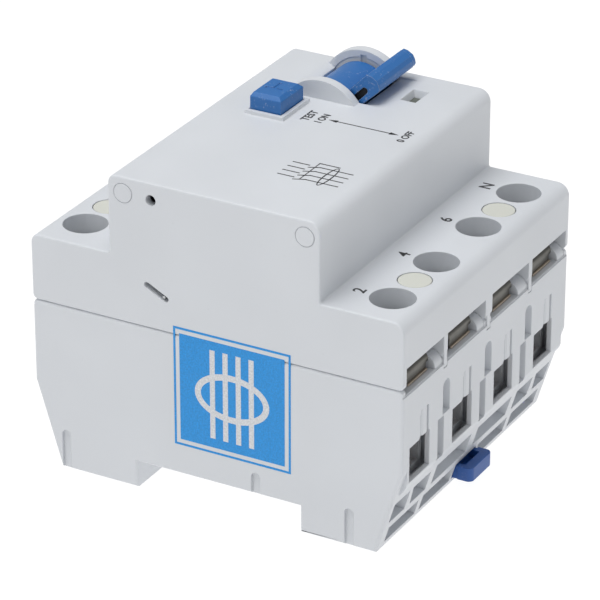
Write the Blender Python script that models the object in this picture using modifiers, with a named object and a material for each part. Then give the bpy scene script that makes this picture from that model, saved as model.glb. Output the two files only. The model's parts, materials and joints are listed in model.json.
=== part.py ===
"""A four-pole residual current circuit breaker for a DIN rail, as an assembly of its separate pieces.

The device lies on its back. +Z points out of its front, +Y towards the line terminals 1, 3, 5 and N, and
+X from pole 1 to the neutral pole. The origin is under the middle of its feet. Every dimension below is in
millimetres, and MM turns them into metres where the meshes are made.
"""

from math import cos, pi, radians, sin

import bmesh
import bpy
from mathutils import Matrix, Vector

MM = 0.001
GAP = 0.3                       # kept between touching pieces

# ---- housing ---------------------------------------------------------------------------------------------
HALF_WIDTH = 35.0               # four modules of 17.5 mm
END_Y = 40.0                    # end faces
NOSE_Y = 22.5                   # half of the 45 mm front that shows through a panel
NOSE_Z = 65.4
SHOULDER_Z = 49.1
SEAM_Z = 35.25
SLOPE_Z = 18.0                  # below this the end faces lean inwards
FOOT_Y = 34.5
RAIL_LOW_Y, RAIL_HIGH_Y = -18.4, 17.3
RAIL_Z = 5.6
WALL = 1.8
SEAM_RADIUS = 1.0
LOAD_RADIUS = 2.5               # rounded edges on the load side
LINE_RADIUS = 1.8
ARC_STEPS = 4
ROUND = 24                      # sides of a visible round hole or head

POLE_PITCH = 17.5
POLES = [(index - 1.5) * POLE_PITCH for index in range(4)]
BETWEEN_POLES = [-POLE_PITCH, 0.0, POLE_PITCH]
LINE_NAMES = ["1", "3", "5", "N_line"]
LOAD_NAMES = ["2", "4", "6", "N_load"]
SIDES = [(1, LINE_NAMES), (-1, LOAD_NAMES)]

# ---- terminals -------------------------------------------------------------------------------------------
TERMINAL_Y = 33.1
SCREW_HOLE_R = 4.4
PLUG_R, PLUG_RECESS_R = 3.2, 3.5
COVER_SCREW_BORE_R = 1.3
PLUG_POINTS = [(x, y) for y in (TERMINAL_Y, -TERMINAL_Y) for x in (-POLE_PITCH, POLE_PITCH)]
BAY_HALF = 6.4                  # half width of a terminal's bay
BAY_Y = (27.0, 38.2)
BAY_FLOOR = 13.1
BAY_CEILING = 42.6
WINDOW_X = (-5.9, 2.2)          # wire window, from its pole's middle
WINDOW_Z = (15.2, 22.8)
BAR_Z = (21.0, 22.6)
BAR_HALF = 3.0
CAGE_HALF = 4.4
CAGE_LEG = 1.0
CAGE_Y = (28.6, 37.9)
CAGE_Z = (13.4, 37.4)
CAGE_FLOOR = 1.6
YOKE = 3.2
HEAD_R, HEAD_Z = 3.5, (42.3, 45.2)
SHANK_R = 2.5

# ---- switching mechanism ---------------------------------------------------------------------------------
HANDLE_Y, HANDLE_Z = 4.4, 60.4  # the handle's axis runs along X
DRUM_R = 6.7
DRUM_X = (17.2, 31.5)
PADDLE_ANGLE = 134.0            # off, from +Y towards +Z
PADDLE_BACK, PADDLE_FRONT = -1.35, 2.7
PADDLE_ROOT_FRONT = 1.95
FLARE = [(10.7, -1.25), (13.8, -1.25), (14.35, -0.5), (14.65, 0.8), (14.1, 2.1), (13.75, 2.5), (10.7, 2.35)]
FLARE_X = (31.0, 32.6)          # where the paddle is wider, past the cheek
PADDLE_TIP = [(13.9, PADDLE_BACK), (14.45, -0.5), (14.75, 0.8), (14.2, 2.15), (13.8, PADDLE_FRONT)]
CHEEK_R = 8.92
CHEEKS_X = [(14.6, 16.7), (32.0, 34.1)]
HANDLE_SLOT_Y = (-4.8, 11.2)
AXLE_R = 0.9
FRAME_PLATES_X = [(15.3, 16.5), (32.2, 33.0)]
CRANK_R = 3.0
CRANK_ANGLE = 224.0
LINK_X = 18.2
LINK_R = 0.5
CONTACT_Y, CONTACT_Z = 4.0, 17.0  # axis of the contact shaft
CONTACT_SWING = 19.4
CONTACT_REACH = 11.6            # from the shaft's axis to the contact buttons
SHAFT_R = 3.0
SHAFT_CRANK = 13.0
SHAFT_CRANK_X = (19.6, 21.0)

# ---- test button, indicator and sensing ------------------------------------------------------------------
BUTTON_X, BUTTON_Y = (2.7, 11.7), (6.6, 13.4)
BUTTON_TOP = 69.5
BUTTON_BEVEL = 0.8
FLAG_X, FLAG_Y, FLAG_Z = (21.6, 28.4), (-16.4, -8.5), (62.9, 63.9)
FLAG_ROOM = [((20.8, 30.8), (-17.2, -4.0), (62.0, 64.2))]  # hollow above the flag's travel
WINDOW_FLAG_X, WINDOW_FLAG_Y = (22.3, 27.6), (-12.2, -9.3)
CORE_CENTRE = (-6.0, -14.0, 26.0)
CORE_R, CORE_HOLE_R, CORE_WIDTH = 15.0, 8.5, 10.0
AUX_R = 19.0                    # from the handle's axis to the auxiliary lever's pin
AUX_SLOT = [(14.1, 44.1), (10.2, 42.1)]
SIDE_DISCS = [(19.2, 62.1), (-19.45, 62.0)]

# ---- rail clip -------------------------------------------------------------------------------------------
CLIP_HALF, CLIP_Y, CLIP_Z = 4.15, (-39.0, -16.2), (1.3, 4.2)

COLOURS = {
    "housing": ((0.58, 0.60, 0.62), 0.42, 0.0),
    "ivory": ((0.63, 0.64, 0.57), 0.45, 0.0),
    "blue": ((0.03, 0.14, 0.46), 0.35, 0.0),
    "dark_blue": ((0.02, 0.09, 0.35), 0.40, 0.0),
    "steel": ((0.55, 0.56, 0.58), 0.30, 1.0),
    "nickel": ((0.42, 0.41, 0.38), 0.32, 1.0),
    "copper": ((0.72, 0.40, 0.28), 0.35, 1.0),
    "black": ((0.03, 0.03, 0.035), 0.50, 0.0),
    "amber": ((0.55, 0.33, 0.12), 0.45, 0.0),
    "green": ((0.05, 0.25, 0.12), 0.60, 0.0),
}


# ---- building blocks -------------------------------------------------------------------------------------
def make_collection(name):
    collection = bpy.data.collections.new(name)
    bpy.context.scene.collection.children.link(collection)
    return collection


def make_materials():
    found = {}
    for name, (rgb, roughness, metallic) in COLOURS.items():
        material = bpy.data.materials.new(name)
        material.use_nodes = True
        shader = material.node_tree.nodes["Principled BSDF"]
        shader.inputs["Base Color"].default_value = (*rgb, 1.0)
        shader.inputs["Roughness"].default_value = roughness
        shader.inputs["Metallic"].default_value = metallic
        found[name] = material
    return found


def place(y=0.0, z=0.0, turn=0.0):
    """A frame whose origin is on an axis along X at (y, z), turned about it in degrees."""
    return Matrix.Translation(Vector((0.0, y, z)) * MM) @ Matrix.Rotation(radians(turn), 4, "X")


WORLD = Matrix.Identity(4)


class Workshop:
    """Makes the parts in one collection and the tools that shape them in another."""

    def __init__(self):
        self.parts = make_collection("residual_current_breaker")
        self.tools = make_collection("cutters")
        self.materials = make_materials()

    def add(self, name, mesh, frame, colour):
        thing = bpy.data.objects.new(name, mesh)
        thing.matrix_world = frame
        if colour:
            mesh.materials.append(self.materials[colour])
            self.parts.objects.link(thing)
        else:
            self.tools.objects.link(thing)
            thing.hide_render = True
            thing.display_type = "WIRE"
        return thing

    def boxes(self, name, spans, frame=WORLD, colour=None):
        """Separate boxes, each given as its (low, high) span along X, Y and Z."""
        bm = bmesh.new()
        for span in spans:
            centre = Vector([(low + high) / 2 for low, high in span]) * MM
            size = Matrix.Diagonal([(high - low) * MM for low, high in span]).to_4x4()
            bmesh.ops.create_cube(bm, size=1.0, matrix=Matrix.Translation(centre) @ size)
        return self.add_bmesh(name, bm, frame, colour)

    def rods(self, name, rods, frame=WORLD, colour=None, sides=ROUND):
        """Separate cylinders, each (axis letter, centre on the other two axes, radius, span along it)."""
        turns = {"X": Matrix.Rotation(pi / 2, 4, "Y"), "Y": Matrix.Rotation(-pi / 2, 4, "X"), "Z": WORLD}
        bm = bmesh.new()
        for axis, (first, second), radius, (low, high) in rods:
            middle = (low + high) / 2
            centre = {
                "X": (middle, first, second),
                "Y": (first, middle, second),
                "Z": (first, second, middle),
            }[axis]
            bmesh.ops.create_cone(
                bm, cap_ends=True, segments=sides, radius1=radius * MM, radius2=radius * MM,
                depth=(high - low) * MM, matrix=Matrix.Translation(Vector(centre) * MM) @ turns[axis],
            )
        thing = self.add_bmesh(name, bm, frame, colour)
        shade_round(thing)
        return thing

    def add_bmesh(self, name, bm, frame, colour):
        mesh = bpy.data.meshes.new(name)
        bm.to_mesh(mesh)
        bm.free()
        return self.add(name, mesh, frame, colour)

    def prism(self, name, outline, span, axis="X", frame=WORLD, colour=None):
        """A flat outline given thickness: (y, z) points along X, (x, z) along Y or (x, y) along Z."""
        columns = {
            "X": ((0, 1, 0), (0, 0, 1), (1, 0, 0)),
            "Y": ((1, 0, 0), (0, 0, 1), (0, -1, 0)),
            "Z": ((1, 0, 0), (0, 1, 0), (0, 0, 1)),
        }[axis]
        turn = Matrix(columns).transposed().to_4x4()
        middle = (span[0] + span[1]) / 2 * MM
        shift = Vector([abs(value) * middle for value in columns[2]])
        curve = self.curve(name, [(u, v, 0.0) for u, v in outline], closed=True)
        curve.dimensions = "2D"
        curve.fill_mode = "BOTH"
        curve.extrude = (span[1] - span[0]) / 2 * MM
        return self.solid_of(name, curve, frame @ Matrix.Translation(shift) @ turn, colour)

    def wire(self, name, points, radius, frame=WORLD, colour=None, resolution=1):
        curve = self.curve(name, points)
        curve.dimensions = "3D"
        curve.bevel_depth = radius * MM
        curve.bevel_resolution = resolution
        curve.use_fill_caps = True
        thing = self.solid_of(name, curve, frame, colour)
        shade_round(thing)
        return thing

    def curve(self, name, points, closed=False):
        curve = bpy.data.curves.new(name, "CURVE")
        spline = curve.splines.new("POLY")
        spline.points.add(len(points) - 1)
        for point, place_of in zip(spline.points, points):
            point.co = (*(Vector(place_of) * MM), 1.0)
        spline.use_cyclic_u = closed
        return curve

    def solid_of(self, name, curve, frame, colour):
        """The mesh of a curve, with its caps welded to its sides."""
        holder = bpy.data.objects.new(name + "_curve", curve)
        self.tools.objects.link(holder)
        depsgraph = bpy.context.evaluated_depsgraph_get()
        mesh = bpy.data.meshes.new_from_object(holder.evaluated_get(depsgraph))
        bpy.data.objects.remove(holder)
        bm = bmesh.new()
        bm.from_mesh(mesh)
        bmesh.ops.remove_doubles(bm, verts=bm.verts, dist=1e-6)
        bmesh.ops.recalc_face_normals(bm, faces=bm.faces)
        bm.to_mesh(mesh)
        bm.free()
        return self.add(name, mesh, frame, colour)


def shade_round(thing):
    thing.data.shade_smooth()
    thing.data.set_sharp_from_angle(angle=radians(35))


def combine(part, tool, operation):
    modifier = part.modifiers.new(tool.name, "BOOLEAN")
    modifier.operation = operation
    modifier.solver = "EXACT"
    modifier.object = tool


def cut(part, *tools):
    for tool in tools:
        combine(part, tool, "DIFFERENCE")


def join(part, *tools):
    for tool in tools:
        combine(part, tool, "UNION")


def bevel(part, width, segments=2, angle=40):
    modifier = part.modifiers.new("rounded edges", "BEVEL")
    modifier.width = width * MM
    modifier.segments = segments
    modifier.angle_limit = radians(angle)


def polar(radius, degrees):
    angle = radians(degrees)
    return (radius * cos(angle), radius * sin(angle))


def arc(centre, radius, start, end, steps=ARC_STEPS):
    """Points on an arc from start to end, in degrees."""
    offsets = [polar(radius, start + (end - start) * step / steps) for step in range(steps + 1)]
    return [(centre[0] + across, centre[1] + up) for across, up in offsets]


def coil(centre, radius, low, high, turns, steps=9):
    """Points of a spring along Z."""
    count = turns * steps
    points = []
    for step in range(count + 1):
        across, along = polar(radius, 360.0 * step / steps)
        points.append((centre[0] + across, centre[1] + along, low + (high - low) * step / count))
    return points


def mirrored(side, span):
    """A span along Y given for the line side, moved to this side."""
    return span if side > 0 else (-span[1], -span[0])


def around(middle, half):
    return (middle - half, middle + half)


def offset(middle, span):
    return (middle + span[0], middle + span[1])


# ---- housing ---------------------------------------------------------------------------------------------
def make_base(shop):
    top = SEAM_Z - SEAM_RADIUS
    outline = [(-FOOT_Y, 0.0), (RAIL_LOW_Y, 0.0), (RAIL_LOW_Y, RAIL_Z)]
    outline += [(RAIL_HIGH_Y, RAIL_Z), (RAIL_HIGH_Y, 0.0), (FOOT_Y, 0.0), (END_Y, SLOPE_Z)]
    outline += arc((END_Y - SEAM_RADIUS, top), SEAM_RADIUS, 0, 90, 2)
    outline += arc((SEAM_RADIUS - END_Y, top), SEAM_RADIUS, 90, 180, 2)
    outline += [(-END_Y, SLOPE_Z)]
    base = shop.prism("base", outline, (-HALF_WIDTH, HALF_WIDTH), colour="housing")

    above = SEAM_Z + 1.0
    well = shop.boxes("base_well", [((-33.0, 33.0), (-25.5, 25.5), (8.0, above))])
    bays = []
    slots = []
    windows = []
    grooves = []
    tops = []
    pockets = []
    for side, _ in SIDES:
        end = mirrored(side, (END_Y - 1.0, END_Y + 1.0))
        for pole in POLES:
            bays.append((around(pole, BAY_HALF), mirrored(side, BAY_Y), (BAY_FLOOR, above)))
            bar_room = mirrored(side, (25.0, 27.5))
            slots.append((around(pole, BAR_HALF + 0.6), bar_room, (BAR_Z[0] - 0.4, above)))
            windows.append((offset(pole, WINDOW_X), mirrored(side, (37.7, 41.0)), WINDOW_Z))
        for middle in BETWEEN_POLES:
            grooves.append((offset(middle, (-3.2, -0.7)), mirrored(side, (38.7, 41.0)), (14.3, 22.6)))
            grooves.append((offset(middle, (-1.3, 1.6)), end, (23.2, 28.7)))
            tops.append(("Y", (middle + 0.15, 28.8), 1.45, end))
        for low, high in [(-33.0, -18.5), (-16.0, -1.5), (1.5, 16.0), (18.5, 33.0)]:
            pockets.append(((low, high), mirrored(side, (34.0, 41.0)), (6.2, 10.3)))
        for low, high in [(-32.0, -20.0), (-18.0, -5.4), (5.4, 18.0), (20.0, 32.0)]:
            pockets.append(((low, high), mirrored(side, (31.0, 41.0)), (1.2, 4.4)))
    cut(base, well, shop.boxes("base_bays", bays), shop.boxes("base_bar_slots", slots))
    cut(base, shop.boxes("wire_windows", windows), shop.boxes("end_grooves", grooves))
    cut(base, shop.rods("end_groove_tops", tops, sides=12), shop.boxes("foot_pockets", pockets))

    channel = shop.boxes("clip_channel", [(around(0.0, CLIP_HALF + GAP), (-41.0, -17.0), (1.0, 4.5))])
    hook = shop.boxes("rail_hook", [((-20.0, 20.0), (17.0, 18.4), (4.3, RAIL_Z))])
    stop = shop.boxes("clip_spring_stop", [((-1.3, 1.3), (-31.6, -30.4), (0.6, 5.0))])
    cut(base, channel, hook)
    join(base, stop)

    marks = [(33.3, 8.3), (-28.9, 8.0), (-8.85, 10.2)]
    notches = [((-36.0, -34.2), around(y, 0.95), (-1.0, z - 0.95)) for y, z in marks]
    rounds = [("X", (y, z - 1.0), 0.95, (-36.0, -34.2)) for y, z in marks]
    bores = [("Z", spot, COVER_SCREW_BORE_R, (18.0, above)) for spot in PLUG_POINTS]
    cut(base, shop.boxes("side_notches", notches), shop.rods("side_notch_tops", rounds, sides=12))
    cut(base, shop.rods("cover_screw_bores", bores, sides=12))


def make_cover(shop):
    low = SEAM_Z + GAP
    shoulder = SHOULDER_Z
    outline = [(-END_Y, low + 1.2), (-END_Y + 0.9, low), (END_Y - 0.9, low), (END_Y, low + 1.2)]
    outline += arc((END_Y - LINE_RADIUS, shoulder - LINE_RADIUS), LINE_RADIUS, 0, 90)
    outline += [(NOSE_Y, shoulder)]
    outline += arc((NOSE_Y - LINE_RADIUS, NOSE_Z - LINE_RADIUS), LINE_RADIUS, 0, 90)
    outline += arc((LOAD_RADIUS - NOSE_Y, NOSE_Z - LOAD_RADIUS), LOAD_RADIUS, 90, 180)
    outline += [(-NOSE_Y, shoulder)]
    outline += arc((LOAD_RADIUS - END_Y, shoulder - LOAD_RADIUS), LOAD_RADIUS, 90, 180)
    cover = shop.prism("cover", outline, (-HALF_WIDTH, HALF_WIDTH), colour="housing")

    cheek = arc((HANDLE_Y, HANDLE_Z), CHEEK_R, 25, 155, 12)
    for index, span in enumerate(CHEEKS_X):
        join(cover, shop.prism(f"cheek_{index}", cheek, span))
    bezel = shop.boxes("button_bezel", [((1.7, 12.6), (5.5, 14.4), (NOSE_Z - 1.0, NOSE_Z + 0.8))])
    join(cover, bezel)

    below = low - 1.0
    inside = HALF_WIDTH - WALL
    well = shop.boxes("cover_well", [(around(0.0, inside), (-25.5, 25.5), (below, shoulder - WALL))])
    nose = shop.boxes("nose_well", [(around(0.0, inside), (-20.6, 20.6), (below, NOSE_Z - WALL))])
    bays = []
    openings = []
    holes = []
    for side, _ in SIDES:
        for pole in POLES:
            bays.append((around(pole, BAY_HALF), mirrored(side, BAY_Y), (below, BAY_CEILING)))
            openings.append((around(pole - 0.1, 7.2), mirrored(side, (36.8, 41.0)), (below, 39.6)))
            holes.append(("Z", (pole, side * TERMINAL_Y), SCREW_HOLE_R, (BAY_CEILING - 1.0, shoulder + 1.0)))
    cut(cover, well, nose, shop.boxes("cover_bays", bays), shop.boxes("busbar_openings", openings))
    cut(cover, shop.rods("screw_holes", holes))

    plugs = [("Z", spot, PLUG_RECESS_R, (44.4, shoulder + 1.0)) for spot in PLUG_POINTS]
    shanks = [("Z", spot, COVER_SCREW_BORE_R, (below, 45.0)) for spot in PLUG_POINTS]
    cut(cover, shop.rods("plug_recesses", plugs), shop.rods("cover_screw_holes", shanks, sides=12))
    cut_front(shop, cover)
    cut_side(shop, cover)


def cut_front(shop, cover):
    """The handle's slot with its finger scoop and ramp, the button's hole and the indicator's window."""
    low, high = NOSE_Z - 3.0, NOSE_Z + 2.0
    between_cheeks = (CHEEKS_X[0][1], CHEEKS_X[1][0])
    slot = shop.boxes("handle_slot", [(between_cheeks, HANDLE_SLOT_Y, (low, NOSE_Z + 8.0))])
    edge, deep = -8.1, HANDLE_SLOT_Y[0] + 0.8
    slope = [(edge, NOSE_Z), (edge, high), (deep, high), (deep, 64.7)]
    scoop = shop.prism("finger_scoop", slope, between_cheeks)
    edge, deep = 12.4, HANDLE_SLOT_Y[1] - 0.8
    slope = [(edge, NOSE_Z), (deep, 64.0), (deep, high), (edge, high)]
    ramp = shop.prism("slot_ramp", slope, between_cheeks)
    hole = [(low_end - GAP, high_end + GAP) for low_end, high_end in (BUTTON_X, BUTTON_Y)]
    button = shop.boxes("button_hole", [(*hole, (low, high))])
    window = shop.boxes("indicator_window", [(WINDOW_FLAG_X, WINDOW_FLAG_Y, (low, high))])
    cut(cover, slot, scoop, ramp, button, window, shop.boxes("flag_room", FLAG_ROOM))


def cut_side(shop, cover):
    """The round marks, the lever's pivot hole and the sloping slot in the side wall at pole 1."""
    marks = [("X", spot, 1.95, (-36.0, -34.8)) for spot in SIDE_DISCS]
    holes = [("X", (13.2, 61.9), 1.1, (-36.0, -34.0)), ("X", (HANDLE_Y, HANDLE_Z), 1.3, (-34.2, -32.0))]
    (y0, z0), (y1, z1) = AUX_SLOT
    along = Vector((y1 - y0, z1 - z0))
    lean = 180.0 / pi * along.angle_signed(Vector((-1.0, 0.0)))
    middle = place((y0 + y1) / 2, (z0 + z1) / 2, lean)
    size = (around(0.0, along.length / 2), around(0.0, 0.65))
    aux = shop.boxes("auxiliary_slot", [((-36.0, -32.0), *size)], middle)
    cut(cover, shop.rods("side_marks", marks), shop.rods("side_holes", holes, sides=16), aux)


def make_fasteners(shop):
    for number, spot in enumerate(PLUG_POINTS, start=1):
        shop.rods(f"screw_plug_{number}", [("Z", spot, PLUG_R, (47.7, SHOULDER_Z - 0.05))], colour="ivory")
        screw = shop.rods(f"cover_screw_{number}", [("Z", spot, 2.8, (45.3, 47.3))], colour="steel", sides=16)
        join(screw, shop.rods(f"cover_screw_shank_{number}", [("Z", spot, 1.0, (20.0, 46.0))], sides=10))


# ---- terminals -------------------------------------------------------------------------------------------
def make_terminal(shop, pole, side, label):
    spot = (pole, side * TERMINAL_Y)
    screw = shop.rods(f"terminal_screw_{label}", [("Z", spot, HEAD_R, HEAD_Z)], colour="steel")
    shank = shop.rods(f"shank_{label}", [("Z", spot, SHANK_R, (BAR_Z[1] + GAP, HEAD_Z[0] + 0.5))], sides=16)
    head_top = (HEAD_Z[1] - 1.6, HEAD_Z[1] + 1.0)
    cross = shop.boxes(f"drive_slot_{label}", [(around(pole, 2.7), around(spot[1], 0.5), head_top)])
    other = shop.boxes(f"drive_cross_{label}", [(around(pole, 0.5), around(spot[1], 1.9), head_top)])
    join(screw, shank)
    cut(screw, cross, other)

    block = (around(pole, CAGE_HALF), mirrored(side, CAGE_Y), CAGE_Z)
    cage = shop.boxes(f"clamp_cage_{label}", [block], colour="nickel")
    yoke_z = CAGE_Z[1] - YOKE
    inside = (CAGE_Z[0] + CAGE_FLOOR, yoke_z)
    mouth = (around(pole, CAGE_HALF - CAGE_LEG), mirrored(side, (27.0, 39.0)), inside)
    through = ("Z", spot, SHANK_R + GAP, (yoke_z - 1.0, CAGE_Z[1] + 1.0))
    hollow = shop.boxes(f"cage_mouth_{label}", [mouth])
    cut(cage, hollow, shop.rods(f"cage_thread_{label}", [through], sides=16))


def make_line_bar(shop, pole, label):
    span = (around(pole, BAR_HALF), (13.8, 36.5), BAR_Z)
    bar = shop.boxes(f"line_bar_{label}", [span], colour="copper")
    button = ("Z", (pole, CONTACT_Y + CONTACT_REACH), 1.6, (19.6, BAR_Z[0] + 0.5))
    join(bar, shop.rods(f"fixed_contact_{label}", [button], sides=16))


def make_load_conductor(shop, index, pole, label):
    """A lead from the contact shaft through the core's window, welded to the load terminal's tongue."""
    x0, y0, z0 = CORE_CENTRE
    inner = index in (1, 2)
    across = x0 + (3.4 if index > 1 else -3.4)
    level = z0 + (3.0 if inner else -3.0)
    bend_y, bend_z = (-3.0, 23.5) if inner else (-4.5, 18.5)
    turn_y, turn_z = (-22.5, 26.0) if inner else (-21.5, 17.5)
    route = [(pole, -0.8, 21.5), (pole * 0.8, bend_y, bend_z), (across, y0 + 7.0, level), (across, y0, level)]
    route += [(across, y0 - 7.0, level), (pole * 0.9, turn_y, turn_z), (pole, -24.0, 21.8)]
    lead = shop.wire(f"load_conductor_{label}", route, 1.5, colour="copper")
    join(lead, shop.boxes(f"load_tongue_{label}", [(around(pole, BAR_HALF), (-36.5, -23.5), BAR_Z)]))


# ---- switching mechanism ---------------------------------------------------------------------------------
def make_handle(shop):
    axis = place(HANDLE_Y, HANDLE_Z)
    handle = shop.rods("handle", [("X", (0.0, 0.0), DRUM_R, DRUM_X)], axis, "blue", sides=40)
    lean = place(HANDLE_Y, HANDLE_Z, PADDLE_ANGLE)
    profile = [(0.0, PADDLE_BACK), *PADDLE_TIP, (0.0, PADDLE_ROOT_FRONT)]
    paddle = shop.prism("paddle", profile, DRUM_X, frame=lean)
    seal = [(7.6, -0.05)] + arc((10.6, 0.7), 0.75, -90, 90, 6) + [(7.6, 1.45)]
    sealing_hole = shop.prism("sealing_hole", seal, (15.0, 20.5), frame=lean)
    bore = shop.rods("handle_bore", [("X", (0.0, 0.0), AXLE_R + GAP, (15.0, 33.0))], axis, sides=16)
    swept = [(-3.5, -8.0), (8.0, -8.0), (8.0, 4.2), (-2.4, -0.7), (-3.5, -1.2)]
    relief = shop.prism("link_relief", swept, (15.0, 19.2), frame=axis)
    pin = polar(CRANK_R, CRANK_ANGLE)
    crank = shop.rods("crank_hole", [("X", pin, LINK_R + GAP, (15.0, 22.2))], axis, sides=12)
    join(handle, paddle, shop.prism("paddle_flare", FLARE, FLARE_X, frame=lean))
    cut(handle, sealing_hole, bore, relief, crank)

    shop.rods("handle_axle", [("X", (0.0, 0.0), AXLE_R, (14.9, 33.1))], axis, "steel", sides=16)


def make_link(shop):
    pin = polar(CRANK_R, CRANK_ANGLE)
    top = (HANDLE_Y + pin[0], HANDLE_Z + pin[1])
    crank = polar(SHAFT_CRANK, -CONTACT_SWING)
    reach = (CONTACT_Y + crank[0] - top[0], CONTACT_Z + crank[1] - top[1])
    hooks = [(21.8, 0.0, 0.0), (LINK_X + 0.5, 0.0, 0.0), (LINK_X, reach[0] * 0.012, reach[1] * 0.012)]
    hooks += [(LINK_X, reach[0] * 0.988, reach[1] * 0.988), (LINK_X + 0.5, *reach), (21.9, *reach)]
    shop.wire("handle_link", hooks, LINK_R, place(*top), "steel", resolution=2)


def make_frame(shop):
    outline = [(-3.4, 31.0), (13.0, 31.0), (13.0, 56.0), (8.0, 63.2), (0.5, 63.2), (-3.4, 58.0)]
    left, right = FRAME_PLATES_X
    frame = shop.prism("mechanism_frame", outline, left, colour="steel")
    join(frame, shop.prism("frame_plate", outline, right))
    join(frame, shop.boxes("frame_bridge", [((left[0] + GAP, right[1] - GAP), (-3.0, 4.0), (31.4, 32.6))]))
    holes = [("X", (HANDLE_Y, HANDLE_Z), AXLE_R + GAP, (14.0, 34.0)), ("X", (0.0, 46.0), 1.3, (14.0, 34.0))]
    cut(frame, shop.rods("frame_holes", holes, sides=16))


def make_contacts(shop):
    """The contact shaft and its moving contacts, drawn closed and then swung open about the shaft's axis."""
    opened = place(CONTACT_Y, CONTACT_Z, -CONTACT_SWING)
    shaft = shop.rods("contact_shaft", [("X", (0.0, 0.0), SHAFT_R, (-31.5, 31.5))], opened, "black")
    crank = shop.boxes("shaft_crank", [(SHAFT_CRANK_X, (0.0, SHAFT_CRANK + 2.6), (-2.4, 2.4))], opened)
    hole = shop.rods("shaft_crank_hole", [("X", (SHAFT_CRANK, 0.0), 1.7, (18.0, 22.0))], opened, sides=16)
    slots = [(around(pole, 2.5), (-1.8, 5.0), (-0.9, 0.9)) for pole in POLES]
    join(shaft, crank)
    cut(shaft, hole, shop.boxes("contact_slots", slots, opened))
    for number, pole in enumerate(POLES, start=1):
        blade = (around(pole, 2.2), (-1.5, CONTACT_REACH + 2.0), (-0.6, 0.6))
        arm = shop.boxes(f"moving_contact_{number}", [blade], opened, "copper")
        button = ("Z", (pole, CONTACT_REACH), 1.6, (0.3, 2.3))
        join(arm, shop.rods(f"contact_button_{number}", [button], opened, sides=16))


def make_trip_parts(shop):
    """The relay, its plunger and the lever that it strikes."""
    relay = shop.boxes("trip_relay", [((18.0, 31.0), (-19.8, -8.0), (36.0, 49.0))], colour="black")
    bevel(relay, 0.6)
    plunger = shop.rods("relay_plunger", [("Y", (24.5, 42.5), 1.2, (-7.7, -4.2))], colour="steel", sides=16)
    join(plunger, shop.rods("plunger_head", [("Y", (24.5, 42.5), 2.0, (-5.0, -4.0))], sides=16))

    axis = place(0.0, 46.0)
    lever = shop.boxes("trip_lever", [((17.2, 31.6), (-0.9, 0.9), (-8.0, -1.5))], axis, "black")
    hub = shop.rods("lever_hub", [("X", (0.0, 0.0), 2.1, (17.2, 31.6))], axis, sides=16)
    bore = shop.rods("lever_bore", [("X", (0.0, 0.0), 1.2, (16.0, 33.0))], axis, sides=12)
    slot = shop.boxes("lever_slot", [((16.0, 19.6), (-3.0, 3.0), (-9.0, 3.0))], axis)
    join(lever, hub)
    cut(lever, bore, slot)
    shop.rods("lever_pin", [("X", (0.0, 0.0), 0.9, (15.0, 33.1))], axis, "steel", sides=12)


def make_auxiliary_lever(shop):
    axis = place(HANDLE_Y, HANDLE_Z)
    end_y, end_z = AUX_SLOT[1][0] + 0.6 - HANDLE_Y, AUX_SLOT[1][1] + 0.3 - HANDLE_Z
    lean = 180.0 / pi * Vector((end_y, end_z)).angle_signed(Vector((1.0, 0.0)))
    blade = ((-32.8, -31.6), (-2.0, AUX_R + 1.0), (-1.5, 1.5))
    arm = shop.boxes("auxiliary_lever", [blade], place(HANDLE_Y, HANDLE_Z, lean), "steel")
    stub = shop.rods("lever_stub", [("X", (0.0, 0.0), 1.0, (-33.9, -32.0))], axis, sides=12)
    pin = shop.rods("auxiliary_pin", [("X", (end_y, end_z), 0.35, (-34.7, -32.0))], axis, sides=8)
    join(arm, stub, pin)


def make_indicator(shop):
    flag = shop.boxes("contact_indicator", [(FLAG_X, FLAG_Y, FLAG_Z)], colour="green")
    stem = shop.boxes("indicator_stem", [((29.0, 30.2), (-9.5, -8.5), (54.0, 63.5))])
    bridge = shop.boxes("indicator_bridge", [((28.0, 30.2), (-9.5, -8.5), FLAG_Z)])
    join(flag, stem, bridge)


# ---- testing and sensing ---------------------------------------------------------------------------------
def make_test_circuit(shop):
    button = shop.boxes("test_button", [(BUTTON_X, BUTTON_Y, (NOSE_Z - 1.3, BUTTON_TOP))], colour="blue")
    top = button.modifiers.new("bevelled top", "BEVEL")
    top.width = BUTTON_BEVEL * MM
    top.segments = 1
    top.limit_method = "WEIGHT"
    weight_top_edges(button)
    skirt = shop.boxes("button_skirt", [((2.2, 12.2), (6.1, 13.9), (61.6, 63.2))])
    neck = shop.boxes("button_neck", [((3.2, 11.2), (7.1, 12.9), (62.5, NOSE_Z))])
    stem = shop.rods("button_stem", [("Z", (7.2, 10.0), 1.0, (55.5, 62.0))], sides=12)
    join(button, neck, skirt, stem)

    spring = coil((7.2, 10.0), 2.0, 54.6, 61.1, 5)
    shop.wire("test_button_spring", spring, 0.3, colour="steel")
    shelf = shop.boxes("test_contact_strip", [((-10.0, 10.5), (7.2, 12.8), (53.2, 53.9))], colour="copper")
    join(shelf, shop.boxes("strip_foot", [((-10.0, -9.2), (7.2, 12.8), (44.0, 53.5))]))
    shop.rods("test_resistor", [("X", (10.0, 48.5), 2.2, (-7.0, 6.0))], colour="amber", sides=16)


def weight_top_edges(thing):
    """Marks the four edges of a box's top face for its Bevel modifier."""
    mesh = thing.data
    top = max(vertex.co.z for vertex in mesh.vertices)
    weights = mesh.attributes.new("bevel_weight_edge", "FLOAT", "EDGE")
    for edge in mesh.edges:
        heights = [mesh.vertices[index].co.z for index in edge.vertices]
        weights.data[edge.index].value = 1.0 if min(heights) > top - 1e-6 else 0.0


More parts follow.
